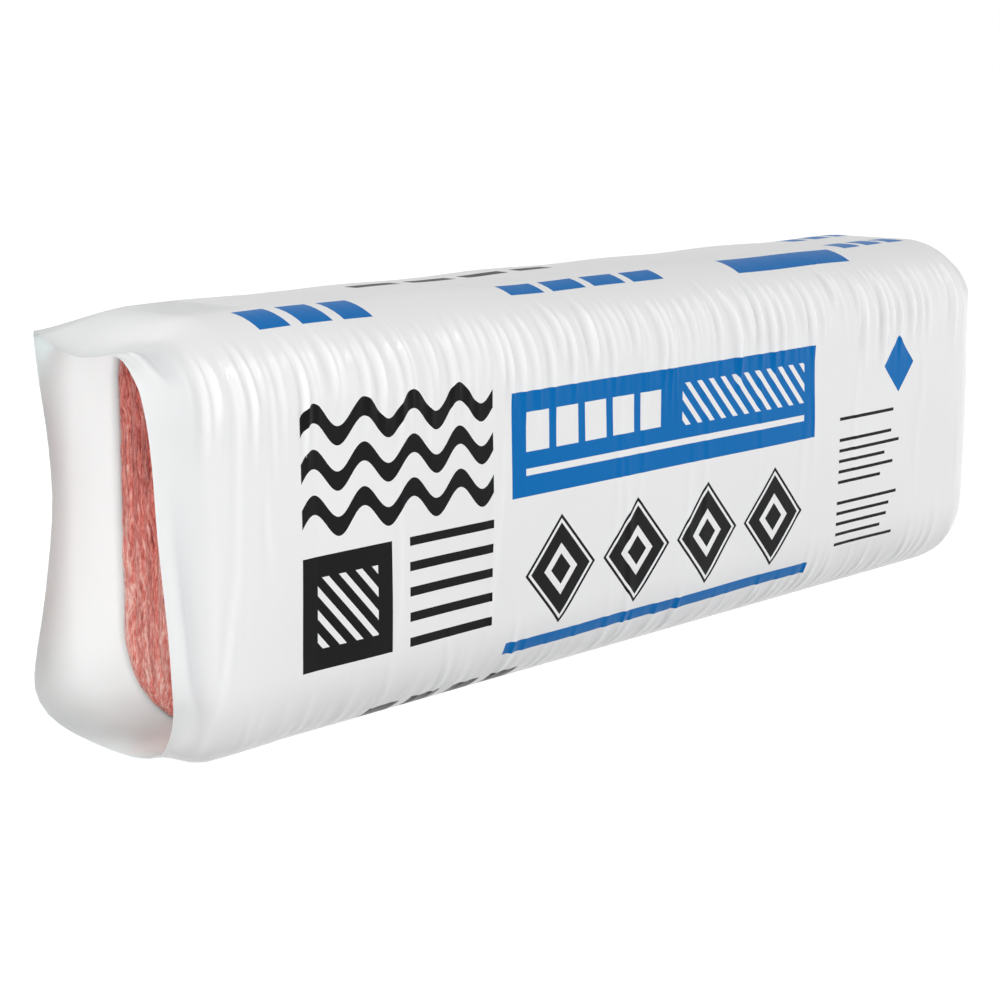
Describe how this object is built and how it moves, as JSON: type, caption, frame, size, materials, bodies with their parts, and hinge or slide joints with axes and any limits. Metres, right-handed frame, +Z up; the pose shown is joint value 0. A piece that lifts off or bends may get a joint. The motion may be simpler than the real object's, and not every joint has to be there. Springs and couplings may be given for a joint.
{
  "type": "bagged bundle of kraft faced fiberglass batts",
  "caption": "Long film sleeve open at one end, holding a squeezed bundle of folded kraft-faced glass-wool batts that stand on edge.",
  "frame": {"origin": "centre of the pack's outline on the floor it stands on", "axes": "+X along the pack from the open mouth to the closed end, +Y across the stack from the printed front to the back, +Z up"},
  "size_m": [1.4106, 0.2644, 0.4092],
  "materials": {
    "film": "glossy white film with blue and black print",
    "wool": "dull pink glass wool",
    "kraft": "matt brown kraft paper"
  },
  "bodies": {
    "root": {"film_sleeve": "film", "batt_1": "wool", "batt_2": "wool", "batt_3": "wool", "batt_4": "wool", "batt_5": "wool", "batt_6": "wool", "batt_7": "wool", "batt_8": "wool", "kraft_facing_1": "kraft", "kraft_facing_2": "kraft", "kraft_facing_3": "kraft", "kraft_facing_4": "kraft", "kraft_facing_5": "kraft", "kraft_facing_6": "kraft", "kraft_facing_7": "kraft", "kraft_facing_8": "kraft"}
  },
  "joints": []
}
